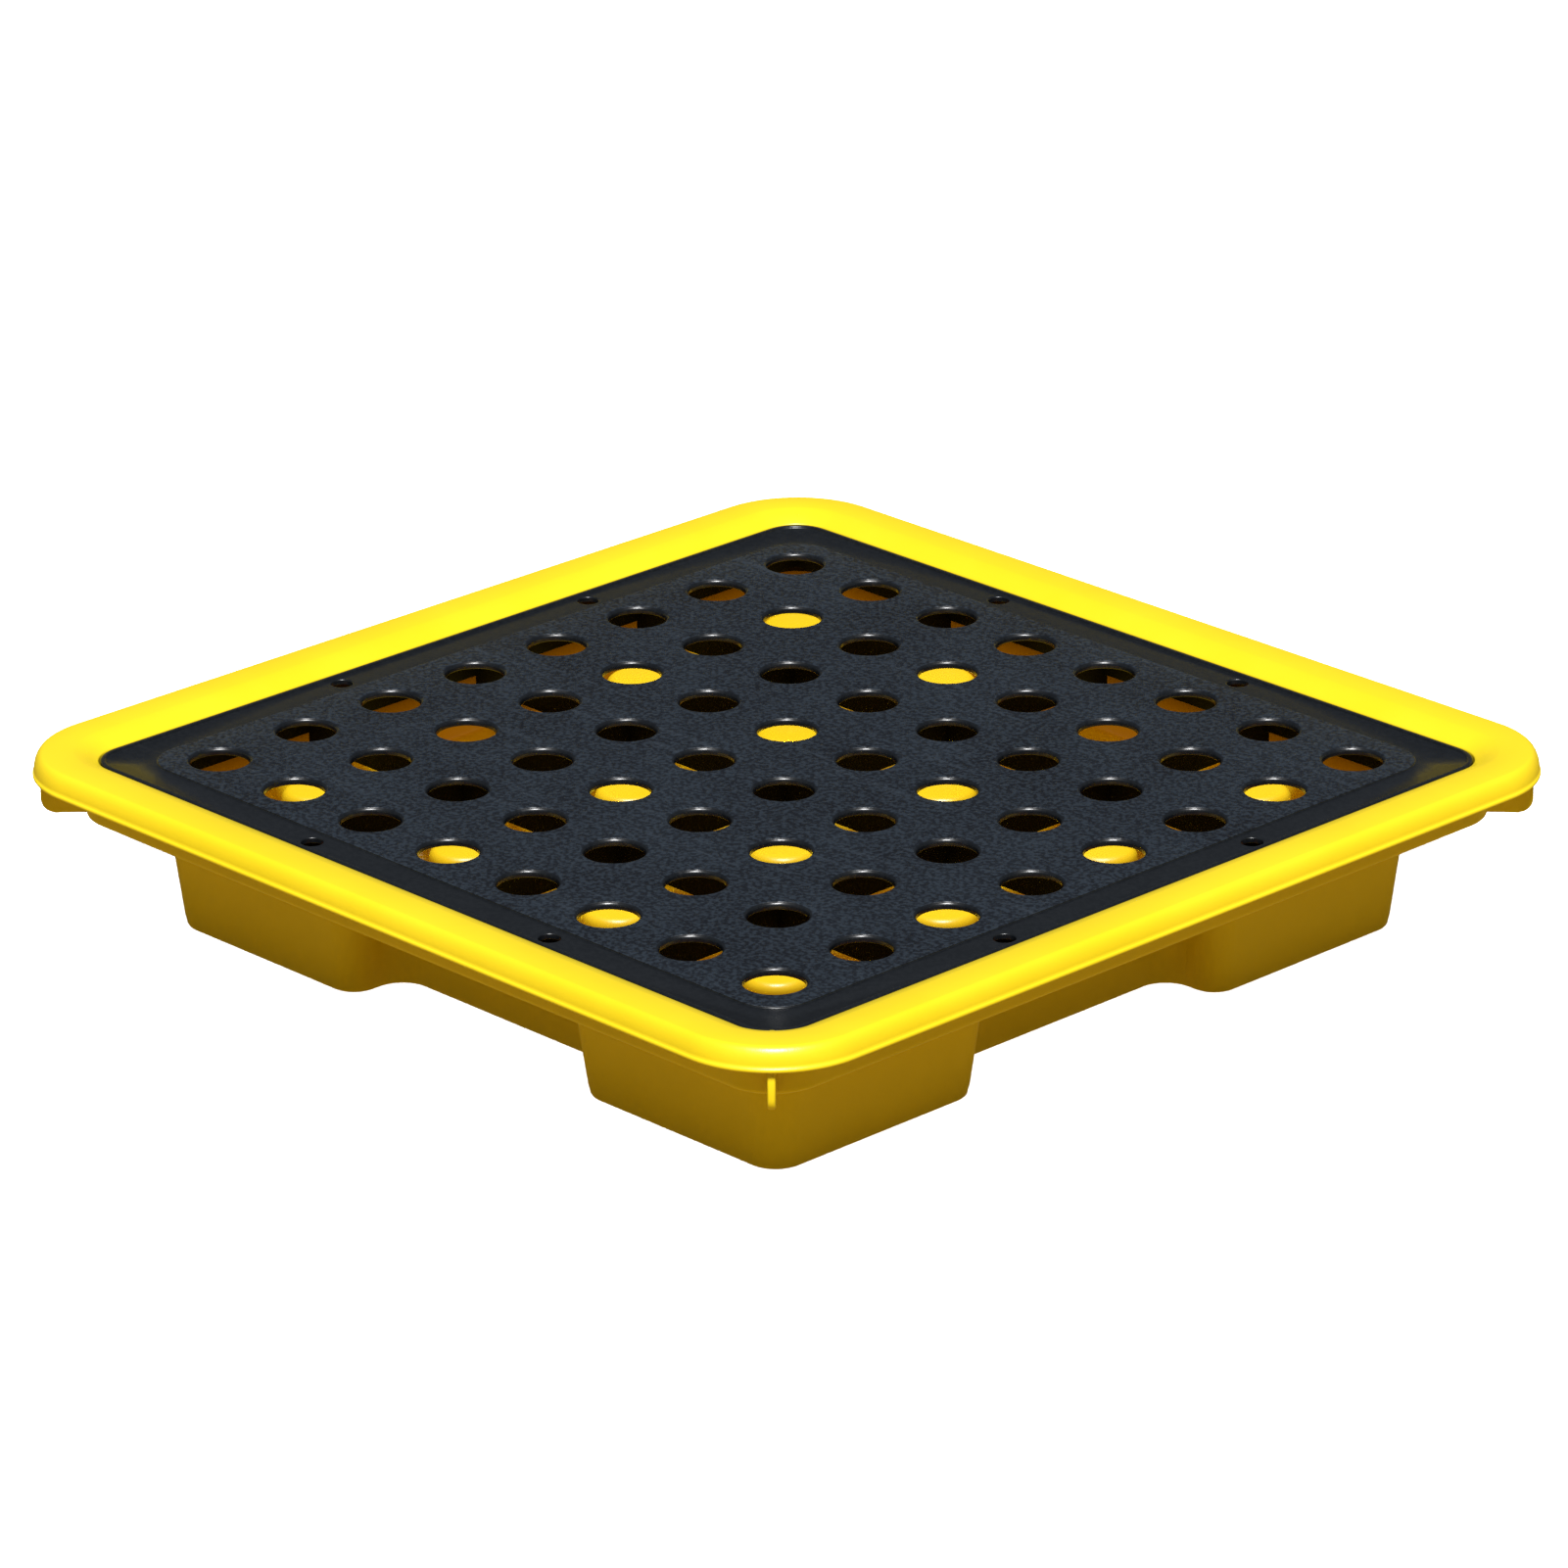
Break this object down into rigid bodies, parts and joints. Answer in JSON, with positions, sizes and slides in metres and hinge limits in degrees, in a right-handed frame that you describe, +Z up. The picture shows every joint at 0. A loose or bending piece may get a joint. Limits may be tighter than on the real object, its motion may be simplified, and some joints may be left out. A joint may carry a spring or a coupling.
{
  "type": "spill containment pallet",
  "caption": "Low square spill containment pallet: a moulded sump tray with a rolled rim and corner feet, and a perforated lift-out deck that carries drums over the sump.",
  "frame": {"origin": "on the ground, under the middle of the tray", "axes": "+Z up; the front side faces -Y and the right side faces +X; the near corner of the usual view is at +X, -Y"},
  "size_m": [0.8, 0.8, 0.134],
  "materials": {
    "tray": "satin moulded polyethylene, safety yellow",
    "deck": "fine-grained moulded plastic, blue-black"
  },
  "bodies": {
    "tray": {"sump_floor": "tray", "sump_wall": "tray", "deck_ledge": "tray", "rim_flange": "tray", "corner_gusset_1": "tray", "corner_gusset_2": "tray", "corner_gusset_3": "tray", "corner_gusset_4": "tray", "support_pillar_1": "tray", "support_pillar_2": "tray", "support_pillar_3": "tray", "support_pillar_4": "tray", "support_pillar_5": "tray", "support_pillar_6": "tray", "support_pillar_7": "tray", "support_pillar_8": "tray", "support_pillar_9": "tray", "support_pillar_10": "tray", "support_pillar_11": "tray", "support_pillar_12": "tray", "support_pillar_13": "tray", "support_pillar_14": "tray"},
    "deck": {"deck_plate": "deck", "deck_skirt": "deck", "deck_long_rib_1": "deck", "deck_long_rib_2": "deck", "deck_long_rib_3": "deck", "deck_long_rib_4": "deck", "deck_long_rib_5": "deck", "deck_cross_rib_1": "deck", "deck_cross_rib_2": "deck", "deck_cross_rib_3": "deck", "deck_cross_rib_4": "deck", "deck_cross_rib_5": "deck"}
  },
  "joints": [
    {"name": "deck_lift", "type": "slide", "parent": "tray", "child": "deck", "axis": [0, 0, 1], "range_m": [0, 0.15]}
  ]
}
